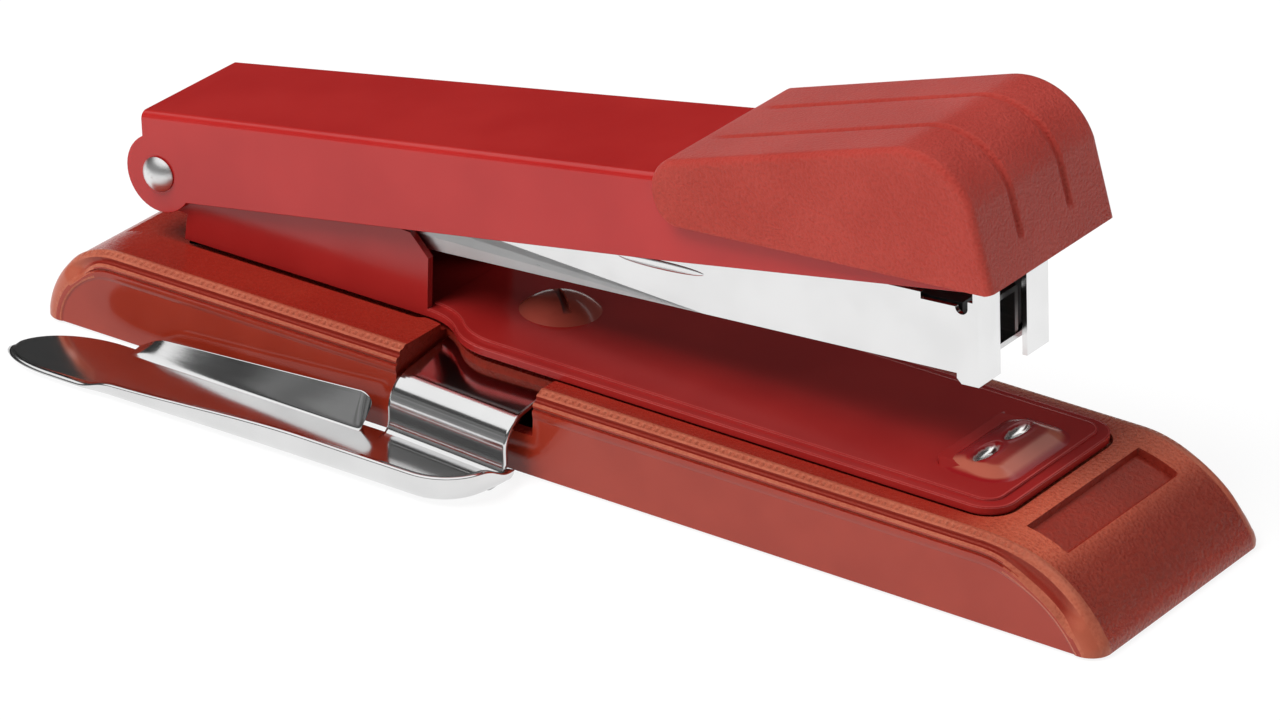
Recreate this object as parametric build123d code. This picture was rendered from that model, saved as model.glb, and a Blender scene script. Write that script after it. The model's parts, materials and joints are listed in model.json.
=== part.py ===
"""Desk stapler with a side staple remover, in millimetres.

The origin is the centre of the face that rests on the table. +X runs to the
nose, +Y to the far side and +Z up. The magazine and the handle are drawn
level, with the pivot at their own origin, and then tilted to their rest angle.
"""
import os
from math import cos, radians, sin, tan

from build123d import *

# Base
pin_setback = 13.6          # rear end of the base to the pivot
driver_reach = 136.2        # pivot to the middle of the driver blade
base_nose = 30.2            # driver blade to the front end of the base
base_width = 45.0
base_height = 13.1
base_wall = 2.4
border_round = 2.7          # rolled border along the top edges
rear_slope = 13.0           # length of the rounded rear end
rear_lip = 1.6              # upright toe below the rounded rear end
front_slope = 20.0
front_lip = 2.9
front_toe = 0.9             # flat step of the front toe
shell_lift = 0.4            # shell edge above the table
panel_border = 3.4          # width of the border round each side panel
panel_depth = 0.6
pad_thickness = 1.6
plate_thickness = 1.2
seat_gap = 0.4              # room round the bottom plate and pad

# Bare recess at the front of the base
recess_gap = 3.6            # frame plate to the recess
recess_length = 6.3
recess_width = 29.8
recess_depth = 0.5

# Anvil frame
frame_sheet = 1.2
frame_width = 33.0
frame_front = 10.0          # driver blade to the front edge of the plate
frame_corner = 4.5
neck_length = 14.0          # length of the curve from the post to the wide plate
rim_width = 1.8
field_step = 0.4            # the plate's field above its rim
boss_length = 10.0
boss_width = 21.0
boss_height = 0.9
boss_corner = 3.0
groove_radius = 0.9
groove_length = 5.0
groove_spread = 4.2         # middle of each clinch groove from the centre line
post_reach = 47.2           # pivot to the front edge of the post
post_shoulder = 3.2         # slanted top corner of the post
post_drop = 0.7             # pivot height above the front top corner of the post
post_tail = 3.8             # pivot to the rear edge of the post
ear_radius = 5.6

# Screws
screw_gap = 15.7            # front edge of the post to the frame screw
rear_screw_reach = 21.0     # pivot to the rear screw
screw_diameter = 4.0
screw_clearance = 0.2
screw_bite = 5.0
head_diameter = 12.0
head_height = 2.4
rear_head_diameter = 8.0
rear_head_height = 1.6
slot_width = 1.2
slot_depth = 1.1
pillar_diameter = 8.0

# Pivot
pin_height = 22.9
pin_diameter = 4.0
pin_clearance = 0.05
pin_head_diameter = 5.6
pin_head_height = 1.5
pin_head_gap = 0.2
bush_wall = 1.2

# Staple remover
strip_thickness = 1.0
notch_gap = 3.0             # front edge of the post to the notch
notch_length = 23.4
notch_ledge = 0.8           # shell standing out beyond the frame plate in the notch
strap_gap = 0.6             # rear end of the notch to the strap
strap_width = 20.4
strap_depth = 31.5          # strap length under the frame, from its outer face
strap_bend = 4.0            # inner radius of the bend over the base side
strap_stand = 1.9           # strap to the base side
trough_width = 15.0
trough_lift = 0.6           # trough floor above the table
trough_front = 2.0          # trough beyond the strap
trough_round = 9.0
lip_height = 4.6            # outer lip above the underside of the trough
blade_length = 60.5         # strap to the blade tip
blade_taper = 36.0          # length of the outer edge's run to the tip
blade_round = 17.0          # length of the inner edge's run to the tip
tip_drop = 10.9             # blade tip outwards from the inner edge
tip_radius = 1.2
leaf_gap = 4.4              # strap to the inner leaf
leaf_length = 40.0
leaf_height = 5.6
leaf_tail = 2.2             # height of the leaf near the blade

# Magazine
magazine_tilt = 4.1
channel_width = 18.4
channel_sheet = 0.8
channel_floor = 3.4         # underside of the channel below the pivot
channel_top = 7.4           # top edge of the channel above the pivot
channel_ear = 5.5
channel_floor_start = 9.0   # pivot to the rear end of the floor
channel_rise = 26.0         # pivot to the full height of the walls
nose_front = 1.7            # driver blade to the front of the nose
nose_length = 3.5
nose_lip = 1.5              # nose below the underside of the channel
nose_rise = 1.6             # front flanges above the top edge of the channel
nose_slot = 7.0
scoop_length = 7.5
scoop_depth = 1.0
rail_width = 11.4
rail_sheet = 0.8
rail_top = 4.4
rail_start = 11.0           # pivot to the rear end of the rail
rail_end_gap = 1.1          # rail to the middle of the driver blade
rail_slot = 2.6
rail_slot_margin = 11.0     # rail end to the top slot
tab_length = 9.0
rivet_diameter = 2.4
rivet_head = 4.4
rivet_head_height = 0.8
rod_diameter = 2.0
rod_height = 0.9            # rod axis above the pivot
rod_end = 1.5               # rod beyond its holders
coil_diameter = 4.4
coil_wire = 0.5
coil_turns = 26
coil_gap = 0.3              # coil to what it bears on

# Pusher
pusher_length = 15.0
pusher_web = 3.0
pusher_wall = 1.6
pusher_top = 6.4
pusher_clearance = 0.3
pusher_front_gap = 0.6      # pusher to the front end of the rail
pusher_ring = 4.2
ring_clearance = 0.08

# Handle
handle_tilt = 9.95
handle_sheet = 0.9
handle_gap = 0.3            # side room between post, magazine and handle
handle_top = 9.4            # top of the handle above the pivot
handle_rear = 1.8           # top plate behind the pivot
handle_bottom = 4.1         # lower edge below the pivot at the rear
handle_bottom_front = 2.8   # lower edge below the pivot at the front
handle_front_half = 14.6
handle_nose = 3.4           # driver blade to the front end of the handle
handle_ear = 6.0
handle_edge = 1.2           # rounding of the top edges

# Cap
cap_length = 53.8
cap_front = 8.3             # driver blade to the front of the cap
cap_width = 32.1
cap_wall = 1.4
cap_fit = 0.1
cap_rear_height = 12.2      # top of the cap above the pivot at its rear
cap_rear_low = 2.9
cap_peak_back = 12.8        # front of the cap to its highest point
cap_peak = 17.9
cap_front_low = 2.3         # front edge below the pivot
cap_edge = 1.8
cap_groove_spread = 6.4
cap_groove_width = 1.3
cap_groove_depth = 0.5
cap_boss = 6.0
cap_screw = 2.6
cap_screw_head = 5.0
cap_screw_head_height = 1.0
cap_screw_bite = 3.0
cap_screw_pitch = 10.0

# Driver
blade_width = 12.6
blade_thickness = 0.6
closed_angle = 0.45         # handle above the magazine when pressed
flange_length = 20.0
flange_thickness = 0.8
driver_rivet_spread = 3.6
driver_rivet_back = 10.0    # blade to its rivets

# Leaf springs
leaf_sheet = 0.6
leaf_width = 8.0
leaf_foot = 14.0
lift_reach = 42.0           # pivot to the free end of the lift spring
lift_gap = 0.3
spring_reach = 74.0         # pivot to the free end of the handle spring
spring_foot_start = 14.0
spring_tee = 4.0

# Places worked out from the sizes above
base_length = pin_setback + driver_reach + base_nose
base_rear = -base_length / 2
base_front = base_length / 2
pin_x = base_rear + pin_setback
clinch_x = pin_x + driver_reach
post_front = pin_x + post_reach
frame_end = clinch_x + frame_front
frame_top = base_height + frame_sheet
field_top = frame_top + field_step
anvil_top = field_top + boss_height
screw_x = post_front + screw_gap
rear_screw_x = pin_x + rear_screw_reach
plate_top = pad_thickness + plate_thickness
shell_under = base_height - base_wall
screw_hole = screw_diameter / 2 + screw_clearance
running_hole = pin_diameter / 2 + pin_clearance

channel_half = channel_width / 2
post_inner = channel_half + handle_gap
post_outer = post_inner + frame_sheet
handle_rear_half = post_outer + handle_gap + handle_sheet

notch_start = post_front + notch_gap
notch_end = notch_start + notch_length
strap_start = notch_start + strap_gap
strap_end = strap_start + strap_width
strap_top = shell_under
strap_inner = -base_width / 2 - strap_stand
strap_outer = strap_inner - strip_thickness
blade_tip = strap_start - blade_length

nose_x = driver_reach + nose_front
nose_bottom = -channel_floor - nose_lip
nose_top = channel_top + nose_rise
floor_top = channel_sheet - channel_floor
channel_inner = channel_half - channel_sheet
rail_end = driver_reach - rail_end_gap
rail_inner = rail_width / 2 - rail_sheet
rail_under = rail_top - rail_sheet
tab_top = floor_top + rail_sheet
rod_start = rail_start + rod_end
rod_stop = rail_end - rail_slot_margin + rod_end
pusher_end = rail_end - pusher_front_gap
web_front = rod_stop - rail_sheet - coil_gap
web_rear = web_front - pusher_web

handle_press = handle_tilt - magazine_tilt - closed_angle
handle_end = driver_reach + handle_nose
handle_under = handle_top - handle_sheet
cap_end = driver_reach + cap_front
cap_start = cap_end - cap_length

pivot = Pos(pin_x, 0, pin_height)
magazine_frame = pivot * Rot(0, -magazine_tilt, 0)
handle_frame = pivot * Rot(0, -handle_tilt, 0)
driver_frame = pivot * Rot(0, -magazine_tilt - handle_press, 0)

OVER = 1.0                  # length by which a cut runs past a face


def side_solid(outline, half_width, middle=0.0):
    """Extrude a side view outline (x forward, z up) to both sides of y = middle."""
    face = Plane.XZ * make_face(outline)
    return Pos(0, middle, 0) * extrude(face, half_width, both=True)


def box(x_span, y_span, z_span):
    """Box between two places on each axis."""
    size = [high - low for low, high in (x_span, y_span, z_span)]
    middle = [(high + low) / 2 for low, high in (x_span, y_span, z_span)]
    return Pos(*middle) * Box(*size)


def upright(radius, x, z_span, y=0.0):
    """Upright cylinder."""
    low, high = z_span
    return Pos(x, y, (low + high) / 2) * Cylinder(radius, high - low)


def crosswise(radius, half_length, x=0.0, z=0.0):
    """Cylinder along Y, centred on the middle plane."""
    return Pos(x, 0, z) * Rot(90, 0, 0) * Cylinder(radius, 2 * half_length)


def dome(radius, height):
    """Domed head on the plane z = 0, with its top at the given height."""
    ball = (radius ** 2 + height ** 2) / (2 * height)
    cap = Pos(0, 0, height - ball) * Sphere(ball)
    return cap & box((-radius, radius), (-radius, radius), (0, height))


def loop(points):
    """Closed outline of straight runs."""
    return Polyline(*points, close=True)


def base_outline(inset, low):
    """Side view of the base, drawn in by the same amount all round."""
    rear = base_rear + inset
    front = base_front - inset
    top = base_height - inset
    rear_flat = base_rear + rear_slope
    front_flat = base_front - front_slope
    rear_foot = (rear, rear_lip)
    front_foot = (front - front_toe, front_lip)
    return [
        Polyline(rear_foot, (rear, low), (front, low), (front, front_lip - front_toe), front_foot),
        TangentArc((front_flat, top), front_foot, tangent=(1, 0)),
        Line((front_flat, top), (rear_flat, top)),
        TangentArc((rear_flat, top), rear_foot, tangent=(-1, 0)),
    ]


def frame_outline(grow):
    """Plan of the anvil frame: narrow between the post walls, wide in front of them."""
    rear = pin_x + post_tail - grow
    end = frame_end + grow
    narrow = post_outer + grow
    wide = frame_width / 2 + grow
    corner = frame_corner + grow
    neck_middle = (post_front + neck_length / 2, (narrow + wide) / 2)
    neck_end = post_front + neck_length
    half = [
        Line((rear, 0), (rear, narrow)),
        Line((rear, narrow), (post_front, narrow)),
        TangentArc((post_front, narrow), neck_middle, tangent=(1, 0)),
        TangentArc((neck_end, wide), neck_middle, tangent=(-1, 0)),
        Line((neck_end, wide), (end - corner, wide)),
        TangentArc((end - corner, wide), (end, wide - corner), tangent=(1, 0)),
        Line((end, wide - corner), (end, 0)),
    ]
    face = make_face(half + [Line((end, 0), (rear, 0))])
    return face + mirror(face, Plane.XZ)


# Base


def make_base_shell():
    half = base_width / 2
    block = side_solid(base_outline(0, shell_lift), half)
    rims = [
        edge
        for edge in block.edges()
        if abs(abs(edge.center().Y) - half) < 0.01 and edge.center().Z > shell_lift + 0.01
    ]
    shell = fillet(rims, border_round)
    panel = make_face(base_outline(panel_border, shell_lift - OVER))
    for side in (-1, 1):
        pocket = extrude(Plane.XZ * panel, panel_depth, both=True)
        shell -= Pos(0, side * half, 0) * pocket
    recess_start = frame_end + recess_gap
    skin = side_solid(base_outline(0, shell_lift), half)
    skin -= side_solid(base_outline(recess_depth, shell_lift), half)
    shell -= skin & box(
        (recess_start, recess_start + recess_length),
        (-recess_width / 2, recess_width / 2),
        (base_height / 2, base_height + OVER),
    )
    shell -= side_solid(base_outline(base_wall, shell_lift - OVER), half - base_wall)
    notch = box(
        (notch_start, notch_end),
        (-half - OVER, 0),
        (strap_top - strip_thickness - strap_bend / 3, base_height + OVER),
    )
    notch -= extrude(frame_outline(notch_ledge), base_height + 2 * OVER)
    shell -= notch
    for x in (screw_x, rear_screw_x):
        shell -= upright(screw_hole, x, (shell_under - OVER, base_height + OVER))
    return shell


def bottom_sheet(low, high):
    """Flat sheet that fits inside the foot of the shell."""
    room = base_wall + seat_gap
    return box(
        (base_rear + room, base_front - room - front_toe),
        (room - base_width / 2, base_width / 2 - room),
        (low, high),
    )


def make_base_plate():
    return bottom_sheet(pad_thickness, plate_top)


def make_base_pad():
    return bottom_sheet(0, pad_thickness)


def make_pillars():
    pillars = []
    for x, top in ((screw_x, strap_top - strip_thickness), (rear_screw_x, shell_under)):
        pillar = upright(pillar_diameter / 2, x, (plate_top, top))
        pillars.append(pillar - upright(screw_diameter / 2, x, (top - screw_bite, top + OVER)))
    return Compound(children=pillars)


def post_outline():
    """Side view of one post wall, with the pivot at its own height."""
    shoulder = pin_height - post_drop + post_shoulder
    return loop(
        [
            (pin_x + post_tail, base_height),
            (post_front, base_height),
            (post_front, pin_height - post_drop),
            (post_front - post_shoulder, shoulder),
            (pin_x, pin_height + ear_radius),
            (pin_x - ear_radius / 2, pin_height),
        ]
    )


def make_anvil_frame():
    plan = frame_outline(0)
    frame = Pos(0, 0, base_height) * extrude(plan, frame_sheet)
    field = frame_outline(-rim_width) & Pos(post_front + driver_reach / 2, 0) * Rectangle(
        driver_reach, frame_width
    )
    frame += Pos(0, 0, frame_top) * extrude(field, field_step)
    boss = RectangleRounded(boss_length, boss_width, boss_corner)
    frame += Pos(clinch_x, 0, field_top) * extrude(boss, boss_height, taper=20)
    for side in (-1, 1):
        groove = crosswise(groove_radius, groove_length / 2, clinch_x, anvil_top + groove_radius / 3)
        frame -= Pos(0, side * groove_spread, 0) * groove
        middle = side * (post_inner + post_outer) / 2
        wall = side_solid(post_outline(), frame_sheet / 2, middle)
        ear = Pos(0, middle, 0) * crosswise(ear_radius, frame_sheet / 2, pin_x, pin_height)
        frame += wall + ear
    frame -= crosswise(pin_diameter / 2, post_outer + OVER, pin_x, pin_height)
    for x in (screw_x, rear_screw_x):
        frame -= upright(screw_hole, x, (base_height - OVER, field_top + OVER))
    return frame


def slotted_screw(x, seat, tip, diameter, height):
    head = Pos(x, 0, seat) * dome(diameter / 2, height)
    slot = box(
        (x - slot_width / 2, x + slot_width / 2),
        (-diameter, diameter),
        (seat + height - slot_depth, seat + height + OVER),
    )
    return head - slot + upright(screw_diameter / 2, x, (tip, seat))


def make_frame_screw():
    tip = strap_top - strip_thickness - screw_bite
    return slotted_screw(screw_x, field_top, tip, head_diameter, head_height)


def make_rear_screw():
    seat = frame_top + leaf_sheet
    return slotted_screw(rear_screw_x, seat, shell_under - screw_bite, rear_head_diameter, rear_head_height)


def trough_plan():
    """Plan of the remover's trough and blade."""
    inner = strap_inner
    outer = inner - trough_width
    front = strap_end + trough_front
    tip = (blade_tip, inner - tip_drop)
    outer_start = (blade_tip + blade_taper, outer)
    inner_start = (blade_tip + blade_round, inner)
    round_start = (front, outer + trough_round)
    plan = make_face(
        [
            Line((front, inner), round_start),
            TangentArc(round_start, (front - trough_round, outer), tangent=(0, -1)),
            Line((front - trough_round, outer), outer_start),
            TangentArc(outer_start, tip, tangent=(-1, 0)),
            TangentArc(inner_start, tip, tangent=(-1, 0)),
            Line(inner_start, (front, inner)),
        ]
    )
    return fillet(plan.vertices().sort_by(Axis.X)[0], tip_radius)


def make_staple_remover():
    floor = trough_lift + strip_thickness
    lip_top = trough_lift + lip_height
    plan = trough_plan()
    strip = Pos(0, 0, trough_lift) * extrude(plan, lip_height)
    hollow = Pos(0, 0, floor) * extrude(offset(plan, -strip_thickness), lip_height)
    strip -= hollow
    strip -= box(
        (blade_tip - OVER, strap_end + trough_front + OVER),
        (strap_outer - OVER / 2, strap_inner + OVER),
        (floor, lip_top + OVER),
    )
    slope_start = (blade_tip + blade_round, floor)
    slope_end = (strap_start - leaf_gap - leaf_length / 2, lip_top)
    strip -= side_solid(
        loop(
            [
                (blade_tip - OVER, floor),
                slope_start,
                slope_end,
                (slope_end[0], lip_top + OVER),
                (blade_tip - OVER, lip_top + OVER),
            ]
        ),
        base_width + trough_width,
    )
    leaf_end = strap_start - leaf_gap
    leaf_rise = (leaf_height - leaf_tail) / 2
    leaf = side_solid(
        loop(
            [
                (leaf_end - leaf_length, trough_lift),
                (leaf_end, trough_lift),
                (leaf_end, trough_lift + leaf_height - leaf_rise),
                (leaf_end - leaf_rise, trough_lift + leaf_height),
                (leaf_end - leaf_length + leaf_tail, trough_lift + leaf_tail),
            ]
        ),
        strip_thickness / 2,
        (strap_inner + strap_outer) / 2,
    )
    bend_y = strap_inner + strap_bend
    bend_z = strap_top - strip_thickness - strap_bend
    far = strap_outer + strap_depth
    outside = strap_bend + strip_thickness
    section = make_face(
        [
            Line((strap_outer, trough_lift), (strap_outer, bend_z)),
            TangentArc((strap_outer, bend_z), (bend_y, bend_z + outside), tangent=(0, 1)),
            Line((bend_y, bend_z + outside), (far, strap_top)),
            Line((far, strap_top), (far, strap_top - strip_thickness)),
            Line((far, strap_top - strip_thickness), (bend_y, bend_z + strap_bend)),
            TangentArc((strap_inner, bend_z), (bend_y, bend_z + strap_bend), tangent=(0, 1)),
            Line((strap_inner, bend_z), (strap_inner, trough_lift)),
            Line((strap_inner, trough_lift), (strap_outer, trough_lift)),
        ]
    )
    strap = Pos(strap_start, 0, 0) * extrude(Plane.YZ * section, strap_width)
    strap -= upright(screw_hole, screw_x, (strap_top - 2 * strip_thickness, strap_top + OVER))
    return strip + leaf + strap


def leaf_strip(points, half_width):
    """Flat spring that follows points in side view, from its lower face."""
    upper = [(x, z + leaf_sheet) for x, z in reversed(points)]
    return side_solid(loop(points + upper), half_width)


def make_lift_spring():
    foot_start = rear_screw_x - leaf_foot / 2
    foot_end = rear_screw_x + leaf_foot / 2
    end_x = pin_x + lift_reach
    under = pin_height - channel_floor / cos(radians(magazine_tilt))
    end_z = under + lift_reach * tan(radians(magazine_tilt)) - lift_gap - leaf_sheet
    curl = leaf_sheet * 3
    spring = leaf_strip(
        [
            (foot_start, frame_top),
            (foot_end, frame_top),
            (end_x - curl, end_z),
            (end_x, end_z - leaf_sheet),
        ],
        leaf_width / 2,
    )
    return spring - upright(screw_hole, rear_screw_x, (base_height, frame_top + 2 * leaf_sheet))


def make_pivot_pin():
    reach = handle_rear_half + pin_head_gap
    pin = crosswise(pin_diameter / 2, reach)
    head = dome(pin_head_diameter / 2, pin_head_height)
    pin += Pos(0, reach, 0) * Rot(-90, 0, 0) * head
    pin += Pos(0, -reach, 0) * Rot(90, 0, 0) * head
    return pivot * pin


# Magazine


def make_channel():
    corner = nose_lip / 2
    wall = side_solid(
        loop(
            [
                (-channel_ear / 2, -channel_floor),
                (nose_x - nose_length, -channel_floor),
                (nose_x - nose_length, nose_bottom + corner),
                (nose_x - nose_length + corner, nose_bottom),
                (nose_x, nose_bottom),
                (nose_x, nose_top),
                (nose_x - channel_sheet, nose_top),
                (nose_x - channel_sheet, channel_top),
                (channel_rise, channel_top),
                (0, channel_ear),
                (-channel_ear / 2, 0),
            ]
        ),
        channel_half,
    )
    channel = wall + crosswise(channel_ear, channel_half)
    inside = (-channel_inner, channel_inner)
    channel -= box((-2 * channel_ear, nose_x - channel_sheet), inside, (floor_top, channel_top + OVER))
    channel -= box((-2 * channel_ear, channel_floor_start), inside, (-2 * channel_ear, channel_top))
    exit_start = rail_end + rail_end_gap / 4
    channel -= box((exit_start, nose_x - channel_sheet), inside, (nose_bottom - OVER, floor_top + OVER))
    channel -= box(
        (nose_x - nose_length, exit_start + OVER), inside, (nose_bottom - OVER, -channel_floor)
    )
    channel -= box(
        (nose_x - channel_sheet - OVER, nose_x + OVER),
        (-nose_slot / 2, nose_slot / 2),
        (nose_bottom - OVER, nose_top + OVER),
    )
    scoop_end = nose_x - 2 * channel_sheet
    channel -= box(
        (scoop_end - scoop_length, scoop_end),
        (-channel_width, channel_width),
        (channel_top - scoop_depth, channel_top + OVER),
    )
    channel -= crosswise(scoop_depth, channel_width, scoop_end - scoop_depth, channel_top - scoop_depth)
    channel -= crosswise(running_hole, channel_width)
    for x in rivet_places():
        channel -= upright(rivet_diameter / 2, x, (-channel_floor - OVER, floor_top + OVER))
    return magazine_frame * channel


def make_bush():
    tube = crosswise(running_hole + bush_wall, channel_inner)
    return magazine_frame * (tube - crosswise(running_hole, channel_width))


def rivet_places():
    """Middles of the two tabs that hold the rail."""
    return rail_start + rod_end + tab_length / 2, pusher_end - pusher_length - tab_length / 2


def make_rail():
    half = rail_width / 2
    rail = box((rail_start, rail_end), (-half, half), (floor_top, rail_top))
    rail -= box(
        (rail_start - OVER, rail_end + OVER), (-rail_inner, rail_inner), (floor_top - OVER, rail_under)
    )
    slot = (-rail_slot / 2, rail_slot / 2)
    rail -= box(
        (rail_start + rail_slot_margin, rail_end - rail_slot_margin + pusher_web),
        slot,
        (rail_under - OVER, rail_top + OVER),
    )
    inside = (-rail_inner, rail_inner)
    for x in rivet_places():
        tab = box((x - tab_length / 2, x + tab_length / 2), inside, (floor_top, tab_top))
        rail += tab - upright(rivet_diameter / 2, x, (floor_top - OVER, tab_top + OVER))
    for start in (rod_start, rod_stop - rail_sheet):
        holder = box((start, start + rail_sheet), inside, (floor_top, rail_under))
        rail += holder
    rail -= rod_solid(rod_diameter / 2, rail_start, rail_end)
    return magazine_frame * rail


def rod_solid(radius, start, stop):
    """Cylinder along the rod's axis."""
    return Pos((start + stop) / 2, 0, rod_height) * Rot(0, 90, 0) * Cylinder(radius, stop - start)


def make_rail_rivets():
    rivets = []
    for x in rivet_places():
        rivet = upright(rivet_diameter / 2, x, (-channel_floor, tab_top))
        head = Pos(x, 0, -channel_floor) * Rot(180, 0, 0) * dome(rivet_head / 2, rivet_head_height)
        rivets.append(magazine_frame * (rivet + head))
    return Compound(children=rivets)


def make_guide_rod():
    rod = rod_solid(rod_diameter / 2, rod_start - rod_end, rod_stop + rod_end)
    return magazine_frame * rod


def make_pusher_spring():
    start = rod_start + rail_sheet + coil_gap + coil_wire / 2
    stop = web_rear - coil_gap - coil_wire / 2
    radius = (coil_diameter - coil_wire) / 2
    length = stop - start
    path = Helix(length / coil_turns, length, radius)
    section = Plane(path @ 0, z_dir=path % 0) * Circle(coil_wire / 2)
    coil = sweep(section, path=path)
    return magazine_frame * Pos(start, 0, rod_height) * Rot(0, 90, 0) * coil


# Pusher


def make_pusher():
    outer = rail_width / 2 + pusher_clearance + pusher_wall
    inner = rail_width / 2 + pusher_clearance
    span = (pusher_end - pusher_length, pusher_end)
    low = floor_top + pusher_clearance
    roof = rail_top + pusher_clearance
    pusher = box(span, (-outer, outer), (low, pusher_top))
    pusher -= box((span[0] - OVER, span[1] + OVER), (-inner, inner), (low - OVER, roof))
    web_half = rail_slot / 2 - pusher_clearance
    web = box((web_rear, web_front), (-web_half, web_half), (rod_height, pusher_top))
    pusher += web + rod_solid(pusher_ring / 2, web_rear, web_front)
    pusher -= rod_solid(rod_diameter / 2 + ring_clearance, web_rear - OVER, web_front + OVER)
    return magazine_frame * pusher


# Handle


def handle_plan(inset):
    """Plan of the handle: tapered behind the cap, straight under it."""
    rear_half = handle_rear_half - inset
    front_half = handle_front_half - inset
    rear = -handle_ear - OVER
    slope = (handle_front_half - handle_rear_half) / cap_start
    rear_half += slope * rear
    front = handle_end + OVER * inset
    return loop(
        [
            (rear, -rear_half),
            (cap_start, -front_half),
            (front, -front_half),
            (front, front_half),
            (cap_start, front_half),
            (rear, rear_half),
        ]
    )


def make_handle_lever():
    low = -2 * handle_ear
    body = Pos(0, 0, low) * extrude(make_face(handle_plan(0)), handle_top - low)
    top_edges = [
        edge
        for edge in body.edges()
        if edge.center().Z > handle_top - 0.01 and abs(edge.tangent_at(0.5).X) > 0.9
    ]
    body = fillet(top_edges, handle_edge)
    body -= Pos(0, 0, low) * extrude(make_face(handle_plan(handle_sheet)), handle_under - low)
    notch = handle_rear + handle_sheet / 2
    side = side_solid(
        loop(
            [
                (-handle_rear, handle_top),
                (handle_end, handle_top),
                (handle_end, -handle_bottom_front),
                (handle_bottom, -handle_bottom),
                (0, 0),
                (-notch, handle_ear - handle_sheet),
            ]
        ),
        2 * handle_front_half,
    )
    side += crosswise(handle_ear, 2 * handle_front_half)
    lever = body & side
    lever -= crosswise(running_hole, 2 * handle_front_half)
    for x, y in driver_rivet_places():
        lever -= upright(rivet_diameter / 2, x, (handle_under - OVER, handle_top + OVER), y)
    for x in cap_screw_places():
        lever -= upright(cap_screw / 2, x, (handle_under - OVER, handle_top + OVER))
    return handle_frame * lever


def cap_outline():
    """Side view of the cap, from its low rear corner round the nose."""
    peak = (cap_end - cap_peak_back, cap_peak)
    toe = (cap_end, -cap_front_low)
    rear_round = (cap_rear_height - cap_rear_low) / 2
    rear_top = (cap_start + rear_round, cap_rear_height)
    rear_low = (cap_start + rear_round, cap_rear_low)
    along = Vector(peak[0] - rear_top[0], peak[1] - rear_top[1])
    return [
        Line(rear_top, peak),
        TangentArc(peak, toe, tangent=along),
        Line(toe, rear_low),
        TangentArc(rear_top, rear_low, tangent=-along),
    ]


def cap_screw_places():
    last = driver_reach - flange_length - cap_screw_head
    return last - cap_screw_pitch, last


def make_handle_cap():
    half = cap_width / 2
    face = make_face(cap_outline())
    block = extrude(Plane.XZ * face, half, both=True)
    edges = [
        edge
        for edge in block.edges()
        if abs(abs(edge.center().Y) - half) < 0.01 and edge.center().Z > handle_top / 2
    ]
    cap = fillet(edges, cap_edge)
    inside = extrude(Plane.XZ * offset(face, -cap_wall), handle_front_half + cap_fit, both=True)
    room = handle_front_half + cap_fit
    low = -2 * handle_ear
    cap -= inside
    cap -= box((cap_start - OVER, handle_end + cap_fit), (-room, room), (low, handle_top + cap_fit))
    skin = extrude(Plane.XZ * face, half, both=True)
    skin -= extrude(Plane.XZ * offset(face, -cap_groove_depth), half, both=True)
    for side in (-1, 1):
        y = side * cap_groove_spread
        groove = box(
            (cap_start + 2 * cap_edge, cap_end + OVER),
            (y - cap_groove_width / 2, y + cap_groove_width / 2),
            (cap_front_low, 2 * cap_peak),
        )
        cap -= skin & groove
    for x in cap_screw_places():
        boss = upright(cap_boss / 2, x, (handle_top + cap_fit, cap_peak)) & extrude(
            Plane.XZ * offset(face, -cap_wall / 2), half, both=True
        )
        hole = (handle_top - OVER, handle_top + cap_screw_bite)
        cap += boss
        cap -= upright(cap_screw / 2, x, hole)
    return handle_frame * cap


def make_cap_screws():
    screws = []
    for x in cap_screw_places():
        shank = upright(cap_screw / 2, x, (handle_under, handle_top + cap_screw_bite))
        head = upright(cap_screw_head / 2, x, (handle_under - cap_screw_head_height, handle_under))
        screws.append(handle_frame * (shank + head))
    return Compound(children=screws)


def driver_rivet_places():
    x = driver_reach - driver_rivet_back
    return (x, -driver_rivet_spread), (x, driver_rivet_spread)


def make_driver():
    half = blade_width / 2
    blade_top = handle_under - flange_thickness / 2 + driver_reach * tan(radians(closed_angle))
    blade = box(
        (driver_reach - blade_thickness / 2, driver_reach + blade_thickness / 2),
        (-half, half),
        (nose_bottom, blade_top),
    )
    flange = box(
        (driver_reach - flange_length, driver_reach + blade_thickness / 2),
        (-half, half),
        (handle_under - flange_thickness, handle_under),
    )
    for x, y in driver_rivet_places():
        flange -= upright(rivet_diameter / 2, x, (0, handle_top), y)
    return driver_frame * blade + handle_frame * flange


def make_driver_rivets():
    rivets = []
    seat = handle_under - flange_thickness
    for x, y in driver_rivet_places():
        head = dome(rivet_head / 2, rivet_head_height)
        rivet = upright(rivet_diameter / 2, x, (seat, handle_top), y)
        rivet += Pos(x, y, handle_top) * head
        rivet += Pos(x, y, seat) * Rot(180, 0, 0) * head
        rivets.append(handle_frame * rivet)
    return Compound(children=rivets)


def make_handle_spring():
    apart = radians(handle_tilt - magazine_tilt)
    rest_z = channel_top + lift_gap
    end_x = spring_reach * cos(apart) + rest_z * sin(apart)
    end_z = rest_z * cos(apart) - spring_reach * sin(apart)
    foot_z = handle_under - leaf_sheet
    foot_end = spring_foot_start + leaf_foot
    spring = leaf_strip(
        [
            (spring_foot_start, foot_z),
            (foot_end, foot_z),
            (end_x - spring_tee, end_z + spring_tee * tan(apart)),
            (end_x, end_z),
        ],
        leaf_width / 2,
    )
    tee = leaf_strip(
        [(end_x - spring_tee, end_z + spring_tee * tan(apart)), (end_x, end_z)], channel_half
    )
    return handle_frame * (spring + tee)


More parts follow.
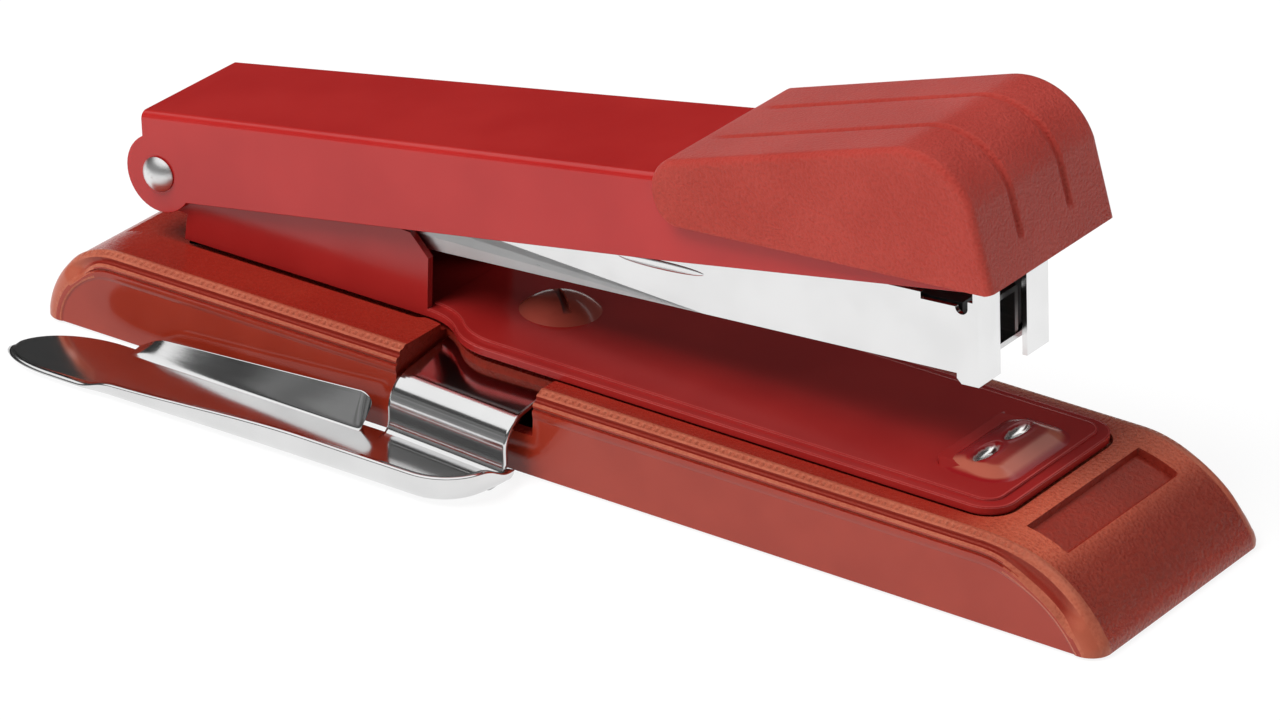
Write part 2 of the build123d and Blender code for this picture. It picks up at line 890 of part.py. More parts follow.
NODES = {
    "base_shell": make_base_shell,
    "base_plate": make_base_plate,
    "base_pad": make_base_pad,
    "threaded_pillars": make_pillars,
    "anvil_frame": make_anvil_frame,
    "frame_screw": make_frame_screw,
    "rear_screw": make_rear_screw,
    "staple_remover": make_staple_remover,
    "lift_spring": make_lift_spring,
    "pivot_pin": make_pivot_pin,
    "magazine_channel": make_channel,
    "magazine_bush": make_bush,
    "staple_rail": make_rail,
    "rail_rivets": make_rail_rivets,
    "guide_rod": make_guide_rod,
    "pusher_spring": make_pusher_spring,
    "pusher": make_pusher,
    "handle_lever": make_handle_lever,
    "handle_cap": make_handle_cap,
    "cap_screws": make_cap_screws,
    "driver_blade": make_driver,
    "driver_rivets": make_driver_rivets,
    "handle_spring": make_handle_spring,
}

os.makedirs("parts", exist_ok=True)
for name, make in NODES.items():
    export_step(make(), f"parts/{name}.step")
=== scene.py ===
"""Looks of the desk stapler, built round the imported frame.

Sizes are millimetres in the frame's axes: +X to the nose, +Y to the far side, +Z up.
A piece is modelled in millimetres and turned to metres when it is finished.
"""
import json
from math import asin, cos, pi, radians, sin, sqrt

import bmesh
import bpy
from mathutils import Matrix, Quaternion, Vector


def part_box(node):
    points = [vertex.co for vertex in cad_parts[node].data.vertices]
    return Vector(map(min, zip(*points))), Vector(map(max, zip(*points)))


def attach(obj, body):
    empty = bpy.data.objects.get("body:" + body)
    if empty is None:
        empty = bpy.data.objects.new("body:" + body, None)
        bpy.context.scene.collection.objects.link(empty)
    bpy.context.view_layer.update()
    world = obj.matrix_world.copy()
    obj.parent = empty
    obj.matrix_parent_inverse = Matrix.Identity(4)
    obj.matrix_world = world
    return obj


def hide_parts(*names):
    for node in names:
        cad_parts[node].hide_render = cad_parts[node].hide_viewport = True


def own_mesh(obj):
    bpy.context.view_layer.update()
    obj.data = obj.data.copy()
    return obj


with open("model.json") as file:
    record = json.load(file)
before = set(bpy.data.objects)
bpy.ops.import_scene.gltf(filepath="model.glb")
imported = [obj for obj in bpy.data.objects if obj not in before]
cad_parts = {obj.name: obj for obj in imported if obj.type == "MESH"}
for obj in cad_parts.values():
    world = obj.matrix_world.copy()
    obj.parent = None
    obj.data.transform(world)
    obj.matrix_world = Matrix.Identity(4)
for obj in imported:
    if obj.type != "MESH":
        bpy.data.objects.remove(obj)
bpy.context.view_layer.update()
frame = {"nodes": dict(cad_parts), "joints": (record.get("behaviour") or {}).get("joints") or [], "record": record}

MM = 0.001

# Places taken from the frame
base_low, base_high = (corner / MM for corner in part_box("base_shell"))
plate_low, plate_high = (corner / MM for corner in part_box("anvil_frame"))
joints = {joint["name"]: joint for joint in frame["joints"]}
pin = Vector(joints["magazine_hinge"]["pos_m"]) / MM

# Rest angles of the magazine and the handle
magazine_tilt = radians(4.1)
handle_tilt = radians(9.95)
magazine_place = Matrix.Translation(pin) @ Matrix.Rotation(-magazine_tilt, 4, "Y")
handle_place = Matrix.Translation(pin) @ Matrix.Rotation(-handle_tilt, 4, "Y")

# Base cover
base_half = base_high.y
base_top = base_high.z
base_wall = 2.4
base_grain = 0.55
rear_slope = 13.0
rear_lip = 1.6
rear_brow = base_low.x + rear_slope
front_slope = 20.0
front_lip = 2.9
front_toe = 0.9
front_brow = base_high.x - front_slope
slope_steps = 80
panel_half = base_half - 0.2

# Front toe, as insets, shares of the lip's height and leans in degrees
toe_points = ((0.5, 0.83, 62), (0.2, 0.62, 72), (0.0, 0.38, 85), (0.0, 0.0, 90))

# Moulded border on the flat and on the slopes, as turns in degrees from the side to the top and heights
border_flat = (
    ((0, 0.0), (4, 0.0), (7, -0.3), (12, -0.3), (15, 0.0))
    + ((20, 0.1), (25, 0.14), (30, 0.1))
    + ((33, -0.1), (36, -0.3), (40, -0.35), (44, -0.3), (47, -0.1))
    + ((50, 0.08), (54, 0.12), (58, 0.1), (61, 0.06))
    + ((73, 0.06), (76, 0.1), (81, 0.12), (86, 0.06), (90, 0.0))
)
border_slope = (
    ((0, 0.0), (1, 0.0), (2, -0.05), (3, -0.15), (5, -0.35))
    + ((8, -0.6), (12, -0.85), (17, -1.0))
    + ((24, -1.1), (32, -1.15), (40, -1.1), (47, -0.9), (52, -0.6))
    + ((56, -0.2), (60, 0.05), (64, 0.15), (68, 0.2))
    + ((73, 0.2), (78, 0.18), (82, 0.12), (86, 0.05), (90, 0.0))
)
border_round = 2.7
border_swell = 0.2
stitch_pitch = 1.1
stitch_steps = 4
stitch_points = (16, 17)
stitch_depth = 0.2

# Lowest bead of the border, as widths past the panel and shares of its height
bead_section = ((0.0, 1.0), (0.15, 0.65), (0.2, 0.3))
bead_flat = 1.1
bead_slope = 0.7

# Shares of a slope at which the border takes its sloped form, its stitches fade and its groove runs out
sloped_form = (0.1, 0.5)
stitch_fade = (0.2, 0.45)
front_groove = 0.86
rear_groove = 0.55
groove_fade = (-0.14, 0.06)

# Shares of a slope at which the first of three strips takes a painted highlight, and the step to the next one
panel_highlight = (0.16, -0.03)
bead_highlight = (0.22, 0.06)

# Rubbing of the grain, painted highlight and painted shade along the base, as distances from the brow of its front
# slope
grain_rise = (-3.0, 0.0)
highlight_rise = (-9.0, 5.0)
highlight_fall = (8.0, 14.0)
shade_rise = (8.0, 13.0)
shade_fall = (front_slope - 2.5, front_slope)
groove_front_highlight = (12.5, 17.0)

# Painted highlight that the groove fades into at the rear, as distances from the brow of the rear slope
groove_rear_highlight = (-3.0, -8.0)

# Bare recess at the front
recess_start = plate_high.x + 3.6
recess_length = 6.5
recess_half = 14.9
recess_depth = 1.0
recess_wall = 0.25


class Shade:
    """A socket in a node tree, with Python's operators as Math nodes."""

    def __init__(self, tree, socket):
        self.tree = tree
        self.socket = socket

    def node(self, kind, inputs, output=0, **settings):
        """Add a node, with its settings first and then its sockets' values or links."""
        made = self.tree.nodes.new(kind)
        for name, value in settings.items():
            setattr(made, name, value)
        for key, value in inputs.items():
            if isinstance(value, Shade):
                self.tree.links.new(value.socket, made.inputs[key])
            else:
                made.inputs[key].default_value = value
        return Shade(self.tree, made.outputs[output] if made.outputs else None)

    def math(self, operation, *values):
        """Math node with the given values or sockets."""
        return self.node("ShaderNodeMath", dict(enumerate(values)), operation=operation)

    def __add__(self, other):
        return self.math("ADD", self, other)

    def __sub__(self, other):
        return self.math("SUBTRACT", self, other)

    def __rsub__(self, other):
        return self.math("SUBTRACT", other, self)

    def __mul__(self, other):
        return self.math("MULTIPLY", self, other)

    def between(self, low, high):
        """0 below low, 1 above high and smooth in between."""
        return self.node(
            "ShaderNodeMapRange",
            {"Value": self, "From Min": low, "From Max": high},
            interpolation_type="SMOOTHSTEP",
        )

    def axis(self, name):
        return self.node("ShaderNodeSeparateXYZ", {0: self}, "XYZ".index(name))

    def stretched(self, x, y, z):
        return self.node("ShaderNodeVectorMath", {0: self, 1: (x, y, z)}, operation="MULTIPLY")

    def noise(self, scale, detail=2.0, rough=0.5):
        inputs = {"Vector": self, "Scale": scale, "Detail": detail, "Roughness": rough}
        return self.node("ShaderNodeTexNoise", inputs)

    def cells(self, scale):
        return self.node("ShaderNodeTexVoronoi", {"Vector": self, "Scale": scale}, feature="SMOOTH_F1")

    def blend(self, low, high):
        """Colour that runs from low to high with this value."""
        return self.node("ShaderNodeMix", {"Factor": self, "A": low, "B": high}, 2, data_type="RGBA")

    def toned(self, name):
        """Colour between the two tones of a finish."""
        dark, light = tones[name]
        return self.blend(colour(*dark), colour(*light))


class Finish:
    """One material: its shader, and coordinates in millimetres on the piece."""

    def __init__(self, name, **constants):
        self.material = bpy.data.materials.new(name)
        self.material.use_nodes = True
        tree = self.material.node_tree
        self.shader = tree.nodes["Principled BSDF"]
        for socket, value in constants.items():
            self.shader.inputs[socket.replace("_", " ")].default_value = value
        place = Shade(tree, tree.nodes.new("ShaderNodeTexCoord").outputs["Object"])
        self.place = place.node("ShaderNodeVectorMath", {0: place, "Scale": 1 / MM}, operation="SCALE")

    def drive(self, socket, shade):
        self.material.node_tree.links.new(shade.socket, self.shader.inputs[socket])

    def bump(self, height, distance):
        """Relief of the given depth in millimetres."""
        inputs = {"Height": height, "Distance": distance * MM, "Strength": 1.0}
        self.drive("Normal", height.node("ShaderNodeBump", inputs))


def colour(red, green, blue):
    return (red, green, blue, 1.0)


# Finishes, with the darker and the lighter tone of each
refraction = 1.5
moulded = {"IOR": refraction, "Specular_Tint": colour(1.0, 0.75, 0.55)}
tones = {
    "base_grain": ((0.27, 0.017, 0.010), (0.36, 0.034, 0.018)),
    # painted shade for the border's small grooves, the notch walls, the recess and the notch lining
    "base_groove_shade": ((0.19, 0.011, 0.006), (0.28, 0.020, 0.010)),
    # painted highlight on the border's beads
    "base_highlight": ((0.34, 0.064, 0.036), (0.44, 0.115, 0.066)),
    # painted shade in the border's groove
    "border_groove_shade": ((0.17, 0.010, 0.006), (0.25, 0.018, 0.010)),
    "panel_gloss": ((0.285, 0.026, 0.011), (0.31, 0.031, 0.014)),
    "cap_grain": ((0.33, 0.026, 0.020), (0.42, 0.046, 0.036)),
    "frame_paint": ((0.29, 0.013, 0.012), (0.33, 0.017, 0.015)),
    # painted highlight on the plate's rounded edges
    "edge_highlight_paint": ((0.38, 0.036, 0.032), (0.46, 0.062, 0.054)),
    # plain enamel, and a painted reflection on the boss's skirt
    "boss_paint_and_reflection": ((0.26, 0.010, 0.012), (0.42, 0.105, 0.068)),
    "handle_paint": ((0.37, 0.012, 0.011), (0.41, 0.017, 0.015)),
    "screw_paint": ((0.27, 0.042, 0.028), (0.36, 0.066, 0.045)),
    # painted shade on the channel's underside
    "channel_underside_shade": ((0.10, 0.10, 0.10), (0.22, 0.22, 0.21)),
    "coil_steel": ((0.30, 0.30, 0.31), (0.52, 0.52, 0.53)),
    "rail_steel": ((0.38, 0.38, 0.38), (0.58, 0.58, 0.57)),
    "spring_steel": ((0.22, 0.23, 0.26), (0.40, 0.41, 0.44)),
    "plate_steel": ((0.45, 0.45, 0.44), (0.62, 0.62, 0.60)),
    "pad_rubber": ((0.02, 0.02, 0.02), (0.05, 0.05, 0.048)),
    "pusher_plastic": ((0.015, 0.015, 0.016), (0.035, 0.035, 0.037)),
    "dark_wall": ((0.012, 0.012, 0.012), (0.26, 0.26, 0.26)),
}
# Painted highlight on the front brow, painted shade below it, and the painted highlight that the border groove
# fades into
brow_highlight = colour(0.52, 0.10, 0.052)
shaded_toe = colour(0.10, 0.010, 0.006)
groove_end_highlight = colour(0.38, 0.085, 0.048)
bare_steel = colour(0.9, 0.89, 0.87)


def leather(finish, pitch):
    """Leather grain of the given pitch, and soft patches over it."""
    pebble = finish.place.cells(1 / pitch)
    crease = finish.place.noise(2.5 / pitch, 3.0, 0.6)
    patch = finish.place.noise(0.08)
    return pebble * 0.7 + crease * 0.6, patch.between(0.3, 0.7)


def grained_plastic(name, pitch, depth, gloss=0.24):
    """Moulded plastic with a leather grain of the given pitch and depth."""
    finish = Finish(name, **moulded)
    grain, patch = leather(finish, pitch)
    tone = grain.between(0.3, 0.8) * 0.6 + patch * 0.4
    finish.drive("Base Color", tone.toned(name))
    finish.drive("Roughness", grain * 0.12 + gloss)
    finish.bump(grain, depth)
    return finish.material


def base_top_plastic():
    """Grained top of the base: rubbed smooth on the flat, with a painted highlight on the front brow and painted
    shade below it.
    """
    finish = Finish("base_grain", **moulded)
    past_brow = finish.place.axis("X") - front_brow
    grain, patch = leather(finish, base_grain)
    rubbing_and_reflection = past_brow.between(*grain_rise) * 0.75 + 0.25
    tone = grain.between(0.3, 0.8) * rubbing_and_reflection * 0.7 + patch * 0.3
    plain = tone.toned("base_grain")
    # Painted highlight along the front brow, speckled by the grain
    brow_sheen = past_brow.between(*highlight_rise) * (1 - past_brow.between(*highlight_fall))
    speckled_sheen = brow_sheen * (grain.between(0.2, 0.7) * 0.5 + 0.5)
    wear_and_sheen = speckled_sheen.blend(plain, brow_highlight)
    # Painted shade down the lower front slope
    low = past_brow.between(*shade_rise) * (1 - past_brow.between(*shade_fall))
    finish.drive("Base Color", (low * 0.42).blend(wear_and_sheen, shaded_toe))
    finish.drive("Roughness", grain * 0.12 + 0.2)
    finish.bump(grain * rubbing_and_reflection, 0.18)
    return finish.material


def groove_plastic():
    """Groove in the border of the base, darkened with painted shade, which fades at both ends into the painted
    highlight of the beads.
    """
    finish = Finish("border_groove_shade", **moulded)
    along = finish.place.axis("X")
    speck = finish.place.noise(4.0)
    front = (along - front_brow).between(*groove_front_highlight)
    rear = (along - rear_brow).between(*groove_rear_highlight)
    # Painted shade in the groove, blended at both ends into the painted highlight of the beads
    dark = speck.toned("border_groove_shade")
    finish.drive("Base Color", (front + rear).blend(dark, groove_end_highlight))
    finish.drive("Roughness", speck * 0.1 + 0.28)
    finish.bump(speck, 0.03)
    return finish.material


def smooth_plastic():
    """Glossy side panels of the base."""
    finish = Finish("panel_gloss", IOR=refraction)
    sink = finish.place.noise(0.12)
    speck = finish.place.noise(9.0)
    finish.drive("Base Color", sink.between(0.3, 0.7).toned("panel_gloss"))
    finish.drive("Roughness", speck * 0.05 + 0.1)
    finish.bump(sink, 0.05)
    return finish.material


def enamel(name, gloss, peel):
    """Stove enamel on sheet steel, with a slight orange peel."""
    finish = Finish(name, IOR=refraction)
    cloud = finish.place.noise(0.06)
    skin = finish.place.noise(1.1)
    finish.drive("Base Color", cloud.between(0.3, 0.7).toned(name))
    finish.drive("Roughness", skin * 0.06 + gloss)
    finish.bump(skin, peel)
    return finish


def plated(name, tone, rough, streak, scratch=0.004):
    """Bright plating with fine streaks along the piece."""
    finish = Finish(name, Metallic=1.0)
    brush = finish.place.stretched(0.15, 3.0, 3.0).noise(1.6, 4.0, 0.65)
    haze = finish.place.noise(0.11)
    bright = colour(tone, tone, tone)
    dimmer = colour(*(tone * 0.94,) * 3)
    finish.drive("Base Color", haze.between(0.3, 0.7).blend(dimmer, bright))
    finish.drive("Roughness", brush * streak + rough)
    finish.bump(brush, scratch)
    return finish.material


def drawn_steel(name):
    """Plain steel with a drawn grain."""
    finish = Finish(name, Metallic=1.0)
    brush = finish.place.stretched(0.2, 4.0, 4.0).noise(1.2, 4.0, 0.6)
    finish.drive("Base Color", brush.toned(name))
    finish.drive("Roughness", brush * 0.2 + 0.22)
    finish.bump(brush, 0.01)
    return finish.material


def black_rubber():
    """Dusty rubber with fine ribs across the pad."""
    finish = Finish("pad_rubber")
    ribs = finish.place.axis("X").math("SINE", finish.place.axis("X") * 3.1)
    dust = finish.place.noise(2.0)
    finish.drive("Base Color", dust.toned("pad_rubber"))
    finish.drive("Roughness", dust * 0.2 + 0.6)
    finish.bump(ribs + dust * 0.4, 0.15)
    return finish.material


def black_plastic():
    """Plain black moulding."""
    finish = Finish("pusher_plastic")
    speck = finish.place.noise(5.0)
    finish.drive("Base Color", speck.toned("pusher_plastic"))
    finish.drive("Roughness", speck * 0.2 + 0.35)
    finish.bump(speck, 0.02)
    return finish.material


# Mesh helpers


def sweep(bm, rows, strips=None):
    """Skin rows of points, each extruded from the row before, with a finish for each strip."""
    chain = [bm.verts.new(point) for point in rows[0]]
    edges = [bm.edges.new(pair) for pair in zip(chain, chain[1:])]
    chains = [chain]
    for number, row in enumerate(rows[1:]):
        made = bmesh.ops.extrude_edge_only(bm, edges=edges)["geom"]
        fresh = {part for part in made if isinstance(part, bmesh.types.BMVert)}
        added = [part for part in made if isinstance(part, bmesh.types.BMEdge)]
        edges = [edge for edge in added if fresh.issuperset(edge.verts)]
        chain = [next(e.other_vert(v) for e in v.link_edges if e.other_vert(v) in fresh) for v in chain]
        for vert, point in zip(chain, row):
            vert.co = point
        if strips:
            order = {vert: index for index, vert in enumerate(chain)}
            for edge in edges:
                edge.link_faces[0].material_index = strips[number][min(order[vert] for vert in edge.verts)]
        chains.append(chain)
    return chains


def closed_sweep(rows, strips=None):
    """Solid swept from rows, with a flat cap along each side and one underneath."""
    bm = bmesh.new()
    chains = sweep(bm, rows, strips)
    bm.faces.new([chain[0] for chain in chains])
    bm.faces.new([chain[-1] for chain in reversed(chains)])
    bm.faces.new(chains[0][::-1] + chains[-1])
    bmesh.ops.recalc_face_normals(bm, faces=bm.faces)
    return bm


def prism(outline, direction):
    """Solid from a flat outline pushed along a direction."""
    bm = bmesh.new()
    face = bm.faces.new([bm.verts.new(point) for point in outline])
    made = bmesh.ops.extrude_face_region(bm, geom=[face])["geom"]
    verts = [part for part in made if isinstance(part, bmesh.types.BMVert)]
    bmesh.ops.translate(bm, verts=verts, vec=direction)
    bmesh.ops.recalc_face_normals(bm, faces=bm.faces)
    return bm


def loose_object(bm, name):
    """Object with the mesh, linked to the scene."""
    mesh = bpy.data.meshes.new(name)
    bm.to_mesh(mesh)
    bm.free()
    piece = bpy.data.objects.new(name, mesh)
    bpy.context.scene.collection.objects.link(piece)
    return piece


def carved(bm, finishes, *cutters):
    """Solid less the cutters' volumes."""
    whole = loose_object(bm, "whole")
    for finish in finishes:
        whole.data.materials.append(finish)
    tools = [loose_object(cutter, "cutter") for cutter in cutters]
    for tool in tools:
        step = whole.modifiers.new("cut", "BOOLEAN")
        step.operation = "DIFFERENCE"
        step.solver = "MANIFOLD"
        step.object = tool
    graph = bpy.context.evaluated_depsgraph_get()
    result = bmesh.new()
    result.from_mesh(bpy.data.meshes.new_from_object(whole.evaluated_get(graph)))
    for done in [whole, *tools]:
        bpy.data.objects.remove(done)
    return result


def merged_copy(node):
    """Copy of a CAD node's mesh in millimetres, with its triangles joined into faces."""
    bm = bmesh.new()
    bm.from_mesh(frame["nodes"][node].data)
    bmesh.ops.scale(bm, vec=(1 / MM,) * 3, verts=bm.verts)
    bmesh.ops.remove_doubles(bm, verts=bm.verts, dist=0.001)
    bmesh.ops.dissolve_limit(bm, angle_limit=radians(1.0), verts=bm.verts, edges=bm.edges)
    return bm


def finished(bm, name, body, finishes, node, place=Matrix(), sharp=35, soften=0.0):
    """Piece in metres that rides on a body and stands for a CAD node, with softened edges if asked."""
    for face in bm.faces:
        face.smooth = len(face.verts) <= 4
    for edge in bm.edges:
        edge.smooth = edge.smooth and edge.calc_face_angle(0.0) < radians(sharp)
    bmesh.ops.transform(bm, matrix=Matrix.Scale(MM, 4) @ place, verts=bm.verts)
    piece = loose_object(bm, name)
    for finish in finishes:
        piece.data.materials.append(finish)
    if soften:
        edges = piece.modifiers.new("edges", "BEVEL")
        edges.width = soften * MM
        edges.segments = 3
        edges.limit_method = "ANGLE"
        edges.angle_limit = radians(sharp)
        edges.harden_normals = True
    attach(piece, body)
    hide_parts(node)
    return piece


def ramp(value, low, high):
    """0 up to low, 1 from high on and smooth in between."""
    share = min(max((value - low) / (high - low), 0.0), 1.0)
    return share * share * (3 - 2 * share)


def mirrored(half, middle):
    """Cross-section from the near side to the far side, from its half and the depth in its middle."""
    near = [(-y, depth) for y, depth in half]
    return near + [(0.0, middle)] + half[::-1]


def every_part(bm):
    return bm.verts[:] + bm.edges[:] + bm.faces[:]


# Base cover


def base_stations():
    """Side outline from the rear foot to the front toe: x, z, lean of the normal and share of the slope."""
    rear_drop = base_top - rear_lip
    front_run = front_slope - front_toe
    front_drop = base_top - front_lip
    rear_radius = (rear_slope**2 + rear_drop**2) / (2 * rear_drop)
    front_radius = (front_run**2 + front_drop**2) / (2 * front_drop)
    rear_turn = asin(rear_slope / rear_radius)
    front_turn = asin(front_run / front_radius)
    stations = [(base_low.x, base_low.z, -pi / 2, 1.0)]
    for step in range(slope_steps):
        share = 1 - step / slope_steps
        lean = rear_turn * share
        x = rear_brow - rear_radius * sin(lean)
        z = base_top - rear_radius * (1 - cos(lean))
        stations.append((x, z, -lean, share))
    flat_length = front_brow - rear_brow
    flat_steps = round(flat_length / stitch_pitch) * stitch_steps
    for step in range(flat_steps):
        stations.append((rear_brow + flat_length * step / flat_steps, base_top, 0.0, 0.0))
    for step in range(slope_steps + 1):
        share = step / slope_steps
        lean = front_turn * share
        x = front_brow + front_radius * sin(lean)
        z = base_top - front_radius * (1 - cos(lean))
        stations.append((x, z, lean, share))
    for inset, height, lean in toe_points:
        stations.append((base_high.x - inset, front_lip * height, radians(lean), 1.0))
    return stations


def border_profile(index, lean, share):
    """Border of the base in cross-section, from the side panel to the top, as (half width, depth)."""
    groove_end = front_groove if lean > 0 else rear_groove
    sloped = ramp(share, *sloped_form)
    relief = 1 - ramp(share - groove_end, *groove_fade)
    stitched = (1 - ramp(share, *stitch_fade)) * (index % stitch_steps in (1, 2))
    rounding = border_round * (1 + border_swell * sloped)
    bead = bead_flat + (bead_slope - bead_flat) * sloped
    profile = [(panel_half + out, rounding + bead * down) for out, down in bead_section]
    for number, (flat, slope) in enumerate(zip(border_flat, border_slope)):
        turn = radians(flat[0] + (slope[0] - flat[0]) * sloped)
        height = (flat[1] + (slope[1] - flat[1]) * sloped) * relief
        radius = rounding + height - stitch_depth * stitched * (number in stitch_points)
        half = min(base_half - rounding + radius * cos(turn), base_half)
        profile.append((half, rounding - radius * sin(turn)))
    return profile


def recess_sink(x, y):
    """Depth of the bare recess at a place on the top of the base."""
    along = min(x - recess_start, recess_start + recess_length - x)
    across = recess_half - abs(y)
    return recess_depth * min(max(min(along, across) / recess_wall, 0.0), 1.0)


def base_row(index, station):
    """Cross-section of the base at one station, from the near panel over the top to the far panel."""
    x, z, lean, share = station
    half = border_profile(index, lean, share) + [(recess_half + recess_wall, 0.0)]
    for y in (recess_half, recess_half - recess_wall, recess_half - 2 * recess_wall, recess_half / 2):
        half.append((y, recess_sink(x, y)))
    row = []
    for y, depth in mirrored(half, recess_sink(x, 0.0)):
        row.append((x - sin(lean) * depth, y, max(z - cos(lean) * depth, base_low.z)))
    return row


# Finishes of the base cover, by their places in its list: the third and the fifth are painted shade, the fourth a
# painted highlight
TOP, PANEL, SHADED, HIGHLIGHT, GROOVE_SHADE = range(5)


def border_strips(share):
    """Finish of each strip of the cross-section, from the near panel to the far panel, with a painted highlight on
    the beads and painted shade in the grooves.
    """
    panel_start, panel_step = panel_highlight
    bead_start, bead_step = bead_highlight
    half = [PANEL]
    half += [HIGHLIGHT if share > panel_start + panel_step * strip else PANEL for strip in range(3)]
    half += [HIGHLIGHT if share > bead_start + bead_step * strip else SHADED for strip in range(3)]
    half += [HIGHLIGHT] * 3 + [GROOVE_SHADE] * 6 + [HIGHLIGHT] * 8 + [TOP] * 6
    return half + half[::-1]


# Remover notch and plate outline
post_front = -29.2
post_half = 10.7
post_gap = 1.2
post_tail = 4.2
post_straight = 17.2
neck_length = 14.0
plate_half = plate_high.y
plate_gap = 0.45
plate_corner = 4.5
corner_turns = [radians(turn) for turn in range(0, 91, 10)]
edge_steps = 24
notch_start = -26.2
notch_end = -2.7
notch_floor = 6.5
notch_ledge = -1.0
notch_depth = -19.0
notch_wall = 1.2
cavity_stride = 6
touch = 0.1


def plate_edge(x, grow):
    """Half width of the anvil plate beside the post and in front of it."""
    half_run = neck_length / 2
    half_rise = (plate_half - post_half) / 2
    radius = (half_run**2 + half_rise**2) / (2 * half_rise)
    run = min(max(x - post_front, 0.0), neck_length)
    if run < half_run:
        rise = radius - sqrt(radius**2 - run**2)
    else:
        rise = 2 * half_rise - radius + sqrt(radius**2 - (neck_length - run) ** 2)
    return post_half + rise + grow


def plate_outline(grow):
    """Outline of the plate from the post's near side round the front to its far side."""
    front = plate_high.x + grow
    side = plate_half + grow
    corner = plate_corner + grow
    places = [post_front + neck_length * step / edge_steps for step in range(edge_steps + 1)]
    half = [(x, plate_edge(x, grow)) for x in places]
    half += [(front - corner * (1 - sin(n)), side - corner * (1 - cos(n))) for n in corner_turns]
    return [(x, -y) for x, y in half] + half[::-1]


def notch_edge(grow):
    """Inner edge of the remover notch, which follows the plate, from the rear to the front."""
    length = notch_end - notch_start
    places = [notch_start + length * step / edge_steps for step in range(edge_steps + 1)]
    return [(x, -plate_edge(x, grow)) for x in places]


def notch_cutter():
    """Room for the remover's strap, open above and to the near side."""
    outside = -base_half - border_round
    outline = notch_edge(notch_ledge) + [(notch_end, outside), (notch_start, outside)]
    return prism([(x, y, notch_floor) for x, y in outline], (0, 0, base_top))


def notch_lining():
    """Wall round the remover notch, which closes off the hollow behind it."""
    side = base_wall - base_half
    rear = notch_start - notch_wall
    front = notch_end + notch_wall
    inner = notch_edge(notch_ledge)
    outer = notch_edge(notch_ledge - notch_wall)[::-1]
    outline = [(notch_start, side)] + inner + [(notch_end, side), (front, side), (front, outer[0][1])]
    outline += outer + [(rear, outer[-1][1]), (rear, side)]
    height = base_top - base_wall - notch_floor
    return prism([(x, y, notch_floor) for x, y in outline], (0, 0, height))


def frame_gap_cutter():
    """Pocket under the frame, a little wider than the post and the plate, which leaves a dark line."""
    side = post_half + post_gap
    rear = plate_low.x - post_gap
    neck = post_front - post_gap
    outline = [(rear, -side), (neck, -side)] + plate_outline(plate_gap) + [(neck, side), (rear, side)]
    return prism([(x, y, base_top - post_gap) for x, y in outline], (0, 0, base_top))


def cavity_cutter():
    """Hollow inside the base cover."""
    rows = []
    half = base_half - base_wall
    for x, z, lean, _ in base_stations()[::cavity_stride]:
        row_x = x - sin(lean) * base_wall
        row_z = z - cos(lean) * base_wall
        rows.append([(row_x, -half, row_z), (row_x, half, row_z)])
    first = [(x, y, -base_wall) for x, y, _ in rows[0]]
    last = [(x, y, -base_wall) for x, y, _ in rows[-1]]
    return closed_sweep([first] + rows + [last])


def finish_cut_faces(cover):
    """Give the side panels their finish, and the walls of the notch and the recess a painted shade."""
    for face in cover.faces:
        middle = face.calc_center_median()
        if abs(face.normal.y) > 0.99 and abs(middle.y) > panel_half - 0.05:
            face.material_index = PANEL
        in_notch = notch_start - touch < middle.x < notch_end + touch and -base_half < middle.y < 0
        inner_wall = middle.y > notch_depth or abs(face.normal.x) > 0.9
        # Notch walls and recess take the painted shade finish
        if in_notch and inner_wall and abs(face.normal.z) < 0.1:
            face.material_index = SHADED
        if recess_sink(middle.x, middle.y) > 0 and middle.z > base_top / 2:
            face.material_index = SHADED


def make_base_cover():
    # Painted shade for the grooves, the notch and the recess, and a painted highlight for the beads
    dark = grained_plastic("base_groove_shade", 0.6, 0.1, 0.3)
    wear_and_sheen = grained_plastic("base_highlight", 0.45, 0.1)
    finishes = [base_top_plastic(), smooth_plastic(), dark, wear_and_sheen, groove_plastic()]
    stations = base_stations()
    rows = [base_row(index, station) for index, station in enumerate(stations)]
    strips = [border_strips(station[3]) for station in stations]
    solid = closed_sweep(rows, strips)
    cover = carved(solid, finishes, cavity_cutter(), notch_cutter(), frame_gap_cutter())
    finish_cut_faces(cover)
    finished(cover, "base_cover", "base", finishes, "base_shell")
    # The notch lining takes the painted shade
    finished(notch_lining(), "notch_lining", "base", [dark], "base_shell")


# Handle cap, in its own axes from the pivot
cap_half = 16.3
cap_rear = 90.7
cap_rear_radius = 4.96
cap_rear_middle = 7.55
cap_rear_open = 105
cap_rear_step = 6
cap_peak = Vector((131.0, 17.5))
cap_brow = Vector((143.3, 9.4))
cap_toe = Vector((145.0, -2.2))
cap_top_steps = 30
cap_brow_steps = 36
cap_front_steps = 24
cap_hollow_stride = 4
cap_edge = 1.1
cap_wall = 1.4
cap_room = 14.7
lever_top = 9.5

# Long grooves of the cap, with their section as shares of the half width and the depth
cap_groove = 6.4
cap_groove_half = 0.85
cap_groove_depth = 0.55
cap_groove_rear = (5.0, 8.0)
cap_groove_front = (2.4, 3.6)
cap_groove_side = ((1.4, 0.0), (1.0, 0.0), (0.85, 0.15), (0.55, 0.9), (0.3, 1.0))
cap_groove_section = cap_groove_side + tuple((-offset, sink) for offset, sink in reversed(cap_groove_side))


